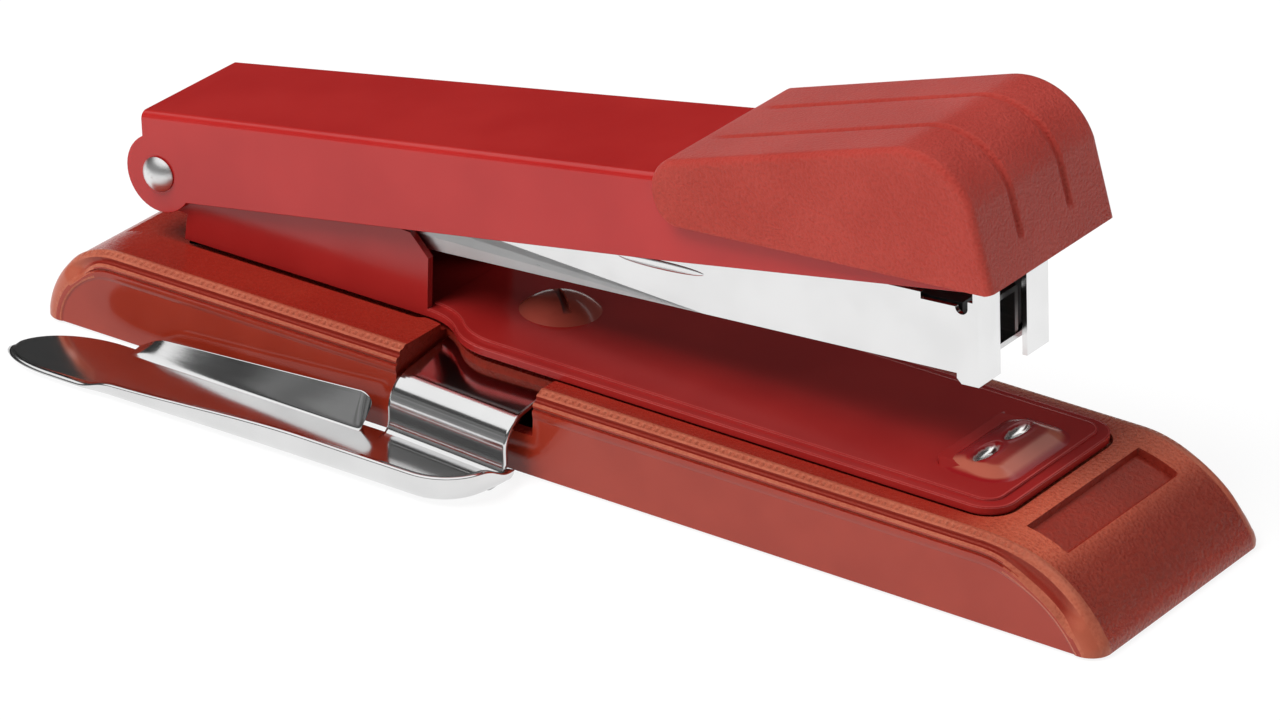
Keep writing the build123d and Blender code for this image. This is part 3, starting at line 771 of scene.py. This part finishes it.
def arc(start, tangent, end, steps):
    """Points and outward normals of the arc that leaves start along tangent and turns clockwise to end."""
    chord = end - start
    tangent = tangent.normalized()
    inward = Vector((tangent.y, -tangent.x))
    radius = chord.length_squared / (2 * chord.dot(inward))
    turn = 2 * asin(chord.length / (2 * radius))
    points = []
    for step in range(steps + 1):
        angle = turn * step / steps
        normal = tangent * sin(angle) - inward * cos(angle)
        points.append((start + inward * radius + normal * radius, normal))
    return points


def straight(start, end, steps):
    """Points and outward normals on the line from start to end, without its start."""
    along = (end - start).normalized()
    normal = Vector((-along.y, along.x))
    return [(start.lerp(end, step / steps), normal) for step in range(1, steps + 1)]


def cap_stations():
    """Side outline of the cap from its rear foot over the top to the toe, as points and normals."""
    middle = Vector((cap_rear + cap_rear_radius, cap_rear_middle))
    stations = []
    for turn in range(360 - cap_rear_open, cap_rear_open, -cap_rear_step):
        normal = Vector((cos(radians(turn)), sin(radians(turn))))
        stations.append((middle + normal * cap_rear_radius, normal))
    start = stations[-1][0]
    stations += straight(start, cap_peak, cap_top_steps)[:-1]
    stations += arc(cap_peak, cap_peak - start, cap_brow, cap_brow_steps)
    stations += straight(cap_brow, cap_toe, cap_front_steps)
    return stations


def cap_row(station):
    """Cross-section of the cap, from its near side over the top to the far side."""
    point, normal = station
    front = ramp(point.y, *cap_groove_front) if point.x > cap_peak.x else 1.0
    groove = cap_groove_depth * front * ramp(point.x - cap_rear, *cap_groove_rear)
    edge = cap_edge * ramp(normal.y, -1.0, 0.0)
    half = []
    for turn in range(0, 91, 15):
        angle = radians(turn)
        half.append((cap_half - cap_edge * (1 - cos(angle)), edge * (1 - sin(angle))))
    half.append((cap_half - 1.5 * cap_edge, 0.0))
    for offset, sink in cap_groove_section:
        half.append((cap_groove + offset * cap_groove_half, sink * groove))
    row = []
    for y, depth in mirrored(half, 0.0):
        place = point - normal * depth
        row.append((place.x, y, place.y))
    return row


def cap_cutter():
    """Hollow inside the cap, open below for the lever."""
    rear = cap_rear - cap_edge
    below = -cap_peak.x
    inner = [point - normal * cap_wall for point, normal in cap_stations()[::cap_hollow_stride]]
    inner = [(point.x, point.y) for point in inner if point.y > lever_top or point.x > cap_peak.x]
    outline = [(rear, below), (rear, lever_top), (inner[0][0], lever_top)] + inner + [(inner[-1][0], below)]
    return prism([(x, -cap_room, z) for x, z in outline], (0, 2 * cap_room, 0))


def make_cap():
    grain = grained_plastic("cap_grain", 0.45, 0.2, 0.34)
    cap = carved(closed_sweep([cap_row(station) for station in cap_stations()]), [grain], cap_cutter())
    finished(cap, "handle_cap_shell", "handle", [grain], "handle_cap", handle_place)


# Trough and spoon of the staple remover
strip = 0.9
trough_floor = 1.1
trough_inner = -25.4
trough_outer = -38.9
trough_front = -3.7
trough_round = 8.0
spoon_start = Vector((-76.0, -38.9))
spoon_end = Vector((-72.0, -25.4))
spoon_tip = Vector((-85.5, -34.6))
spoon_lip = 0.35
end_steps = 6
corner_steps = 14
tip_steps = 16
long_steps = 40

# Rim of the trough: its heights and runs, and its section as insets and shares of the height
lip_height = 3.7
lip_start = -70.0
lip_low_share = 0.45
lip_run = 40.0
lip_fade = 5.0
lip_front = 1.4
lip_front_run = (6.0, 12.0)
lip_front_reach = 1.0
lip_inner_reach = 3.0
lip_section = ((0.0, 1.0), (0.08, 0.72), (0.28, 0.38), (0.8, 0.1), (1.5, 0.0), (2.1, 0.0))

# Leaf of the remover, with its section as distances across and shares of the height
leaf_front = -29.0
leaf_rear = -70.0
leaf_corner = 1.6
leaf_foot = trough_inner - 1.8
leaf_tail = 1.0
leaf_low = 2.4
leaf_high = 5.3
leaf_fade = (-1.5, 4.5)
leaf_section = ((0.0, 0.02), (0.3, 0.06), (0.7, 0.21), (1.3, 0.45), (1.9, 0.68), (2.4, 0.87), (2.75, 1.0))
leaf_steps = 39
leaf_corner_steps = 8

# Strap of the remover, with its foot as offsets from the face and heights
strap_start = -25.6
strap_end = -4.4
strap_top = 9.8
strap_roll = 4.2
strap_face = -24.6
strap_yaw = 1.7
strap_tilt = 0.14
strap_steps = 14
strap_flat = (-9.4, -13.0, -16.0, -18.5, strap_face + strap_roll + 0.3)
strap_foot = (
    ((0.12, 3.8), (0.1, 3.0), (-0.15, 2.2), (-0.7, 1.5))
    + ((-1.6, 1.2), (-2.8, trough_floor), (-4.0, trough_floor - 0.1))
)


def quarter(start, corner, end, steps):
    """Points of a quarter of an ellipse from start to end inside the given corner."""
    points = []
    for step in range(steps + 1):
        angle = pi / 2 * step / steps
        points.append(corner + (start - corner) * (1 - sin(angle)) + (end - corner) * (1 - cos(angle)))
    return points


def remover_plan():
    """Plan of the trough, from the strap's front corner round the outer lip to the spoon's tip and back."""
    start = Vector((trough_front, trough_inner))
    turn = Vector((trough_front, trough_outer + trough_round))
    corner = Vector((trough_front - trough_round, trough_outer))
    outline = [start.lerp(turn, step / end_steps) for step in range(end_steps)]
    outline += quarter(turn, Vector((trough_front, trough_outer)), corner, corner_steps)
    outline += [corner.lerp(spoon_start, step / long_steps) for step in range(1, long_steps)]
    outline += quarter(spoon_start, Vector((spoon_tip.x, spoon_start.y)), spoon_tip, corner_steps)
    outline += quarter(spoon_tip, Vector((spoon_tip.x, spoon_end.y)), spoon_end, tip_steps)[1:]
    outline += [spoon_end.lerp(start, step / long_steps) for step in range(1, long_steps)]
    return outline


def lip_rise(x, y):
    """How far the trough's rim is turned up at a place on its outline."""
    if x > trough_front - lip_front_reach:
        return lip_height - (lip_height - lip_front) * ramp(y - trough_outer, *lip_front_run)
    if y > trough_inner - lip_inner_reach or (y > spoon_tip.y and x < lip_start):
        return 0.0
    along = x - lip_start
    full = lip_height * (lip_low_share + (1 - lip_low_share) * ramp(along, 0.0, lip_run))
    return spoon_lip + (full - spoon_lip) * ramp(along, 0.0, lip_fade)


def trough_sheet(bm):
    """Floor of the trough with its rim turned up, as rings round the plan."""
    plan = remover_plan()
    count = len(plan)
    rings = []
    for inset, share in lip_section:
        ring = []
        for index, point in enumerate(plan):
            along = (plan[(index + 1) % count] - plan[index - 1]).normalized()
            rise = lip_rise(point.x, point.y)
            spread = inset * (0.5 + 0.5 * rise / lip_height)
            place = point + Vector((along.y, -along.x)) * spread
            ring.append((place.x, place.y, trough_floor + share * rise))
        rings.append(ring + ring[:1])
    chains = sweep(bm, rings)
    bm.faces.new(chains[-1][:-1])
    bmesh.ops.remove_doubles(bm, verts=bm.verts, dist=0.001)


def leaf_height(x):
    """Height of the leaf's edge above the trough, low to the rear and rounded at the front."""
    full = leaf_low + (leaf_high - leaf_low) * (x - leaf_rear) / (leaf_front - leaf_rear)
    corner = max(x - leaf_front + leaf_corner, 0.0)
    rounding = leaf_corner - sqrt(max(leaf_corner**2 - corner**2, 0.0))
    return (full - rounding) * ramp(x - leaf_rear, *leaf_fade)


def leaf_sheet(bm):
    """Inner leaf that stands up from the trough and leans towards the base."""
    places = [leaf_rear + step for step in range(leaf_steps)]
    for step in range(leaf_corner_steps + 1):
        places.append(leaf_front - leaf_corner * (1 - step / leaf_corner_steps))
    rows = []
    for x in places:
        rise = leaf_height(x)
        row = [(x, leaf_foot - leaf_tail, trough_floor - strip / 2)]
        row += [(x, leaf_foot + across, trough_floor + share * rise) for across, share in leaf_section]
        rows.append(row)
    sweep(bm, rows)


def strap_sheet(bm):
    """Strap from under the anvil plate, over the base's side and down to the trough, at a slight yaw."""
    roll_start = strap_face + strap_roll
    top = strap_top - strip / 2
    section = [(y, top + strap_tilt * (y - roll_start)) for y in strap_flat]
    for turn in range(10, 91, 10):
        angle = radians(turn)
        section.append((roll_start - strap_roll * sin(angle), top - strap_roll * (1 - cos(angle))))
    section += [(strap_face + offset, height) for offset, height in strap_foot]
    rows = []
    for step in range(strap_steps + 1):
        share = step / strap_steps
        x = strap_start + (strap_end - strap_start) * share
        rows.append([(x, y - strap_yaw * share, z) for y, z in section])
    sweep(bm, rows)


def make_remover():
    bm = bmesh.new()
    trough_sheet(bm)
    leaf_sheet(bm)
    strap_sheet(bm)
    bmesh.ops.recalc_face_normals(bm, faces=bm.faces)
    chrome = plated("remover_chrome", 0.73, 0.08, 0.1, 0.002)
    piece = finished(bm, "remover_strip", "base", [chrome], "staple_remover")
    rounding = piece.modifiers.new("rounding", "SUBSURF")
    rounding.levels = 2
    rounding.render_levels = 2
    sheet = piece.modifiers.new("sheet", "SOLIDIFY")
    sheet.thickness = strip * MM
    sheet.offset = 0.0


# Clinch boss on the anvil plate
field_top = 14.7
boss_middle = 61.0
boss_length = 13.0
boss_width = 22.0
boss_corner = 5.0
boss_rise = 1.2
boss_sunk = 0.06
boss_skirt = 4.3
boss_steps_x = 60
boss_steps_y = 96

# Reach of the CAD boss past or short of the softer one, along and across
cad_boss_along = -1.0
cad_boss_across = 0.5

# Pits for the staple's legs, with slopes and rims as shares of the pit's size
pit_middle = 60.2
pit_place = 4.1
pit_long = 3.3
pit_wide = 1.1
pit_depth = 0.95
pit_slope = (1.2, 0.4)
pit_rim = 0.1
pit_rim_place = 1.3
pit_rim_reach = 0.5
pit_wear = (1.15, 0.8)

# Painted reflection on the boss: past its middle or near its near end, between two heights above the plate
reflection_along = (-1.0, 1.5)
reflection_across = (-6.0, -8.0)
reflection_low = (0.1, 0.5)
reflection_high = (1.0, 1.2)


def boss_height(x, y):
    """Height of the clinch boss above the plate, with a pit for each staple leg."""
    out_x = abs(x - boss_middle) - boss_length / 2 + boss_corner
    out_y = abs(y) - boss_width / 2 + boss_corner
    rounded = Vector((max(out_x, 0.0), max(out_y, 0.0))).length
    outside = rounded + min(max(out_x, out_y), 0.0) - boss_corner
    pit = Vector(((x - pit_middle) / pit_wide, (abs(y) - pit_place) / pit_long)).length
    rim = pit_rim * ramp(abs(pit - pit_rim_place), pit_rim_reach, 0.0)
    return (boss_rise + rim - pit_depth * ramp(pit, *pit_slope)) * ramp(-outside, 0.0, boss_skirt)


def boss_paint_and_reflection():
    """Enamel of the boss, worn to bright steel in the pits, with a painted reflection that lightens its skirt."""
    paint = enamel("boss_paint_and_reflection", 0.2, 0.006)
    along = paint.place.axis("X")
    across = paint.place.axis("Y")
    height = paint.place.axis("Z") - field_top
    offset_x = (along - pit_middle) * (1 / pit_wide)
    offset_y = (across.math("ABSOLUTE", across) - pit_place) * (1 / pit_long)
    scuff = paint.place.noise(1.5) * 0.5
    wear_and_sheen = (offset_x * offset_x + offset_y * offset_y + scuff).between(*pit_wear)
    # Painted reflection on the parts of the skirt that face the light
    facing = (along - boss_middle).between(*reflection_along) + across.between(*reflection_across)
    skirt = height.between(*reflection_low) * (1 - height.between(*reflection_high))
    rubbing_and_reflection = (facing * skirt).toned("boss_paint_and_reflection")
    paint.drive("Metallic", wear_and_sheen)
    paint.drive("Base Color", wear_and_sheen.blend(rubbing_and_reflection, bare_steel))
    return paint.material


def make_boss():
    rows = []
    for step_x in range(boss_steps_x + 1):
        x = boss_middle + boss_length * (step_x / boss_steps_x - 0.5)
        row = []
        for step_y in range(boss_steps_y + 1):
            y = boss_width * (step_y / boss_steps_y - 0.5)
            row.append((x, y, field_top - boss_sunk + boss_height(x, y)))
        rows.append(row)
    bm = bmesh.new()
    sweep(bm, rows)
    bmesh.ops.recalc_face_normals(bm, faces=bm.faces)
    finished(bm, "clinch_boss", "base", [boss_paint_and_reflection()], "anvil_frame", sharp=60)


# Anvil frame, with rounded edges on the plate's rim and on its raised field
rim_top = field_top - 0.4
rim_width = 1.8
edge_round = 0.24
edge_proud = 0.02


def straight_post(bm):
    """Keep the rear edge of the post upright up to the handle's ears."""
    cut = (0, 0, post_straight)
    bmesh.ops.bisect_plane(bm, geom=every_part(bm), plane_co=cut, plane_no=(0, 0, 1))
    for vert in bm.verts:
        if abs(vert.co.z - post_straight) < 0.01 and vert.co.x < pin.x + post_tail:
            vert.co.x = pin.x + post_tail
    return bm


def pressed_flat(bm):
    """Press the CAD boss flat, where the softer boss takes its place."""
    for vert in bm.verts:
        inside_x = abs(vert.co.x - boss_middle) < boss_length / 2 + cad_boss_along
        inside_y = abs(vert.co.y) < boss_width / 2 + cad_boss_across
        if inside_x and inside_y and vert.co.z > field_top:
            vert.co.z = field_top
    bmesh.ops.dissolve_degenerate(bm, dist=0.001, edges=bm.edges)
    return bm


def plate_edges():
    """Thin rounded beads along the plate's rim and along the step up to its field."""
    bm = bmesh.new()
    for grow, top in ((0.0, rim_top), (-rim_width, field_top)):
        rows = []
        for turn in range(0, 181, 15):
            out = edge_round * (cos(radians(turn)) - 1) + edge_proud
            rise = edge_round * (sin(radians(turn)) - 1) + edge_proud
            rows.append([(x, y, top + rise) for x, y in plate_outline(grow + out)])
        sweep(bm, rows)
    bm.normal_update()
    if sum(face.normal.z for face in bm.faces) < 0:
        bmesh.ops.reverse_faces(bm, faces=bm.faces)
    return bm


def make_frame():
    paint = enamel("frame_paint", 0.12, 0.006).material
    plate = pressed_flat(straight_post(merged_copy("anvil_frame")))
    finished(plate, "anvil_stamping", "base", [paint], "anvil_frame", soften=0.35)
    # The beads are painted lighter than the frame as a painted highlight along the edges
    wear_and_sheen = enamel("edge_highlight_paint", 0.12, 0.004).material
    finished(plate_edges(), "plate_edges", "base", [wear_and_sheen], "anvil_frame", sharp=60)


# Softened copies of the lever, the screws and the pin
screw_turn = radians(48.0)


def make_lever():
    paint = enamel("handle_paint", 0.14, 0.004).material
    shell = merged_copy("handle_lever")
    finished(shell, "lever_shell", "handle", [paint], "handle_lever", soften=0.3)


def make_screws_and_pin():
    brown = enamel("screw_paint", 0.16, 0.01).material
    for node in ("frame_screw", "rear_screw"):
        screw = merged_copy(node)
        low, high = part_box(node)
        middle = (low + high) / (2 * MM)
        turn = Matrix.Rotation(screw_turn, 3, "Z")
        bmesh.ops.rotate(screw, cent=middle, matrix=turn, verts=screw.verts)
        finished(screw, node + "_domed", "base", [brown], node, soften=0.12)
    nickel = plated("pin_nickel", 0.85, 0.3, 0.16)
    domed = merged_copy("pivot_pin")
    finished(domed, "pivot_pin_domed", "base", [nickel], "pivot_pin", soften=0.2)


# Magazine channel, in its own axes from the pivot
channel_half = 9.2
channel_sheet = 1.2
dimple_middle = Vector((86.2, channel_half, 2.5))
dimple_size = Vector((7.2, 0.22, 0.7))

# Pressed creases that fan out from one point, as slopes and depths per length
crease_point = Vector((93.0, 0.0, -3.4))
crease_least = 0.02
crease_fan = ((0.115, 0.0), (0.110, 0.009), (0.083, 0.0), (0.078, 0.010), (0.045, 0.001), (-0.1, 0.008))

# Finishes of the channel, by their places in its list: the second is painted shade on the creases, the third
# painted shade on the underside
NICKEL, CREASE_SHADE, UNDERSIDE_SHADE = range(3)


def crease_depth(x, z):
    """How far the wall is pressed in at a place on its side."""
    reach = max(crease_point.x - x, 0.001)
    slope = (z - crease_point.z) / reach
    for (high, deep), (low, shallow) in zip(crease_fan, crease_fan[1:]):
        if low <= slope <= high:
            return reach * (shallow + (deep - shallow) * (slope - low) / (high - low))
    return 0.0


def crease_walls(bm):
    """Cut the walls along the creases, press them in, and give the pressed faces and the floor their painted-shade
    finishes.
    """
    for slope, _ in crease_fan:
        parts = every_part(bm)
        made = bmesh.ops.bisect_plane(bm, geom=parts, plane_co=crease_point, plane_no=(slope, 0, 1))
        for part in made["geom_cut"]:
            if isinstance(part, bmesh.types.BMEdge):
                part.smooth = False
    for face in bm.faces:
        middle = face.calc_center_median()
        on_wall = abs(face.normal.y) > 0.9 and abs(middle.y) > channel_half - channel_sheet
        pressed = on_wall and crease_depth(middle.x, middle.z) > crease_least
        face.material_index = CREASE_SHADE if pressed else NICKEL
        if face.normal.z < -0.8:
            face.material_index = UNDERSIDE_SHADE
    for vert in bm.verts:
        if abs(vert.co.y) > channel_half - channel_sheet:
            vert.co.y *= 1 - crease_depth(vert.co.x, vert.co.z) / channel_half


def make_magazine():
    bm = merged_copy("magazine_channel")
    bmesh.ops.transform(bm, matrix=magazine_place.inverted(), verts=bm.verts)
    crease_walls(bm)
    for side in (-1, 1):
        place = Matrix.Translation((dimple_middle.x, side * dimple_middle.y, dimple_middle.z))
        shape = place @ Matrix.Diagonal(dimple_size.to_4d())
        bmesh.ops.create_uvsphere(bm, u_segments=32, v_segments=16, radius=1.0, matrix=shape)
    # The streak finish is painted shade on the creases, the dull one painted shade on the underside
    nickel = plated("channel_nickel", 0.80, 0.12, 0.1)
    streak = plated("channel_crease_shade", 0.64, 0.2, 0.25)
    dimmer = drawn_steel("channel_underside_shade")
    case = [nickel, streak, dimmer]
    finished(bm, "magazine_case", "magazine", case, "magazine_channel", magazine_place, soften=0.25)


def make_pusher_coil():
    """Coil spring behind the pusher, with a mesh of its own."""
    low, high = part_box("pusher_spring")
    along = magazine_place.to_3x3() @ Vector((1, 0, 0))
    length = (high.x - low.x) / along.x
    travel = -joints["pusher_slide"]["range_m"][0]
    wire = drawn_steel("coil_steel")
    copy = merged_copy("pusher_spring")
    coil = finished(copy, "pusher_coil", "magazine", [wire], "pusher_spring")
    1 - travel / length
    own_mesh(coil)


def dress_hidden_nodes():
    """Give the CAD nodes that are shown as they are a finish for their slot."""
    finishes = {name: drawn_steel(name) for name in ("rail_steel", "spring_steel", "plate_steel")}
    finishes["pad_rubber"] = black_rubber()
    finishes["pusher_plastic"] = black_plastic()
    for part in frame["record"]["subparts"]:
        node = frame["nodes"][part["node"]]
        if part["material_slot"] in finishes:
            node.data.materials.clear()
            node.data.materials.append(finishes[part["material_slot"]])


# Stage
white = colour(1, 1, 1)
floor_half = 4000
floor_tone = colour(0.92, 0.92, 0.92)
floor_glow = 1.04
floor_glow_share = 0.84
world_low = 0.3
world_seen = 0.85
wall_radius = 1500
wall_height = 1160
wall_middle = 585
wall_near = (-300.0, -900.0)
wall_fall = (850.0, 650.0)

# Lamps, with places and sizes in metres and powers in watts
lamp_size = 0.9
lamps = {
    "key": ((-0.55, -0.85, 1.5), 29.5),
    "front": ((-0.3, -1.5, 0.5), 4),
    "rim": ((0.9, 1.1, 1.1), 5.5),
}


def bare_tree(owner):
    """Empty node tree of a material or a world."""
    owner.use_nodes = True
    owner.node_tree.nodes.clear()
    return Shade(owner.node_tree, None)


def seen_directly(shade):
    """1 for what the camera, a mirror or glass shows, 0 for light that falls on the object."""
    path = shade.tree.nodes.new("ShaderNodeLightPath")
    names = ("Is Camera Ray", "Is Glossy Ray", "Is Transmission Ray")
    camera, mirror, glass = (Shade(shade.tree, path.outputs[name]) for name in names)
    return shade.math("MAXIMUM", shade.math("MAXIMUM", camera, mirror), glass)


def make_floor():
    """Pale floor, which glows a little where it is seen and keeps the object's shadow."""
    bm = bmesh.new()
    bmesh.ops.create_grid(bm, x_segments=1, y_segments=1, size=floor_half)
    floor = loose_object(bm, "floor")
    floor.data.transform(Matrix.Scale(MM, 4))
    material = bpy.data.materials.new("pale_floor")
    root = bare_tree(material)
    matt = root.node("ShaderNodeBsdfDiffuse", {"Color": floor_tone})
    glow = root.node("ShaderNodeEmission", {"Color": white, "Strength": floor_glow})
    share = seen_directly(root) * floor_glow_share
    mix = root.node("ShaderNodeMixShader", {"Fac": share, 1: matt, 2: glow})
    root.node("ShaderNodeOutputMaterial", {"Surface": mix})
    floor.data.materials.append(material)


def make_wall():
    """Wall round the table, dark behind the object and grey in front of it, seen only in gloss."""
    bm = bmesh.new()
    bmesh.ops.create_cone(bm, segments=64, radius1=wall_radius, radius2=wall_radius, depth=wall_height)
    wall = loose_object(bm, "dark_wall")
    wall.data.transform(Matrix.Scale(MM, 4) @ Matrix.Translation((0, 0, wall_middle)))
    finish = Finish("dark_wall")
    near = finish.place.axis("Y").between(*wall_near) * finish.place.axis("Z").between(*wall_fall)
    patch = finish.place.noise(0.006).between(0.35, 0.65) * 0.7 + 0.3
    finish.drive("Base Color", (near * patch).toned("dark_wall"))
    wall.data.materials.append(finish.material)
    for ray in ("camera", "diffuse", "shadow", "transmission"):
        setattr(wall, "visible_" + ray, False)


def make_world():
    """Even light all round, stronger where it is seen than where it falls."""
    world = bpy.data.worlds.new("studio")
    bpy.context.scene.world = world
    root = bare_tree(world)
    strength = seen_directly(root) * world_seen + world_low
    light = root.node("ShaderNodeBackground", {"Color": white, "Strength": strength})
    root.node("ShaderNodeOutputWorld", {"Surface": light})


def placed(name, data, place, turn):
    """Object for a lamp or a camera, at a place in metres and turned by a quaternion."""
    holder = bpy.data.objects.new(name, data)
    holder.location = place
    holder.rotation_mode = "QUATERNION"
    holder.rotation_quaternion = turn
    bpy.context.scene.collection.objects.link(holder)
    return holder


def make_lamp(name, place, power):
    """Square lamp that lights the object and stays out of its reflections."""
    lamp = bpy.data.lights.new(name, "AREA")
    lamp.shape = "SQUARE"
    lamp.size = lamp_size
    lamp.energy = power
    holder = placed(name, lamp, place, (-Vector(place)).to_track_quat("-Z", "Y"))
    holder.visible_glossy = False


# Camera at the photograph's viewing angle
camera_place = Vector((506.82, -770.82, 455.38))
camera_azimuth = radians(33.31)
camera_elevation = radians(25.74)
camera_roll = radians(1.69)
camera_lens = 202.9


def make_camera():
    camera = bpy.data.cameras.new("camera")
    camera.lens = camera_lens
    level = cos(camera_elevation)
    back = Vector((sin(camera_azimuth) * level, -cos(camera_azimuth) * level, sin(camera_elevation)))
    turn = (-back).to_track_quat("-Z", "Y") @ Quaternion((0, 0, 1), camera_roll)
    bpy.context.scene.camera = placed("camera", camera, camera_place * MM, turn)


make_base_cover()
make_cap()
make_remover()
make_boss()
make_frame()
make_lever()
make_screws_and_pin()
make_magazine()
make_pusher_coil()
dress_hidden_nodes()

make_floor()
make_wall()
make_world()
for lamp_name, (lamp_place, lamp_power) in lamps.items():
    make_lamp(lamp_name, lamp_place, lamp_power)
make_camera()
bpy.context.scene.view_settings.view_transform = "Standard"
